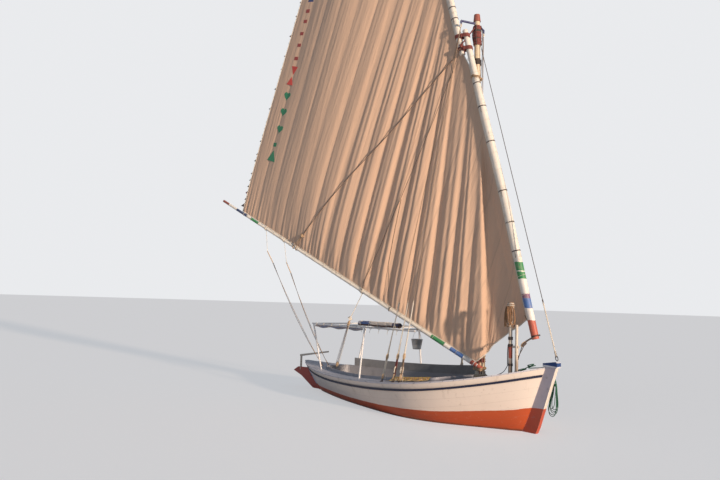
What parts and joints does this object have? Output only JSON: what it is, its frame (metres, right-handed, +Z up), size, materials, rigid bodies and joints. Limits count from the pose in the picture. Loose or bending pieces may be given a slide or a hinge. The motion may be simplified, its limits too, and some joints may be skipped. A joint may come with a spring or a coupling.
{
  "type": "felucca",
  "caption": "Small decked river sailing boat with an open cockpit, a short raked mast and a tall two-part yard with a boomed triangular sail.",
  "frame": {"origin": "on the centreline at the waterline, midway between the stem and the rudder where they meet the water", "axes": "+X towards the bow, +Y to port, +Z up"},
  "size_m": [10.7837, 4.3777, 19.8433],
  "materials": {
    "hull_paint": "gloss paint, worn, red below the border line",
    "deck_paint": "matt paint",
    "rail_paint": "gloss paint",
    "stem_paint": "matt paint, red below the border line",
    "cap_paint": "gloss paint",
    "coaming_paint": "matt paint",
    "seat_paint": "matt paint, worn",
    "sole_paint": "matt paint, worn",
    "mast_paint": "varnish",
    "truck_paint": "matt paint",
    "collar_wood": "bare wood",
    "arm_steel": "gloss paint",
    "shroud_rope": "laid rope",
    "stay_rope": "laid rope",
    "post_paint": "gloss paint",
    "frame_steel": "gloss paint",
    "awning_canvas": "woven canvas",
    "awning_lining": "woven canvas",
    "gudgeon_iron": "forged, painted",
    "spar_paint": "gloss paint with painted rings",
    "sail_canvas": "woven cotton",
    "lashing_rope": "laid rope",
    "rudder_paint": "gloss paint",
    "tiller_paint": "worn paint"
  },
  "bodies": {
    "boat": {"hull": "hull_paint", "deck": "deck_paint", "rub_rails": "rail_paint", "keel_and_stem": "stem_paint", "stemhead_cap": "cap_paint", "coaming": "coaming_paint", "seat_back": "coaming_paint", "sole": "sole_paint", "bench_port": "seat_paint", "bench_starboard": "seat_paint", "stern_platform": "seat_paint", "mast": "mast_paint", "mast_truck": "truck_paint", "mast_collar": "collar_wood", "masthead_arm": "arm_steel", "shrouds_port": "shroud_rope", "shrouds_starboard": "shroud_rope", "forestay": "stay_rope", "foredeck_posts": "post_paint", "awning_frame": "frame_steel", "awning_roll": "awning_canvas", "awning_cloth": "awning_lining", "gudgeons": "gudgeon_iron"},
    "rig": {"yard_lower": "spar_paint", "yard_upper": "spar_paint", "boom": "spar_paint", "sail": "sail_canvas", "yard_lashings": "lashing_rope", "yard_parrel": "lashing_rope", "boom_grommet": "lashing_rope"},
    "rudder": {"rudder": "rudder_paint", "tiller": "tiller_paint"}
  },
  "joints": [
    {"name": "rig_swing", "type": "hinge", "parent": "boat", "child": "rig", "pos_m": [2.652, 0, 0], "axis": [-0.0297, 0, 0.9996], "range_deg": [-14, 10]},
    {"name": "rudder_turn", "type": "hinge", "parent": "boat", "child": "rudder", "pos_m": [-3.93475, 0, 0], "axis": [-0.7314, 0, 0.682], "range_deg": [-35, 35]}
  ]
}
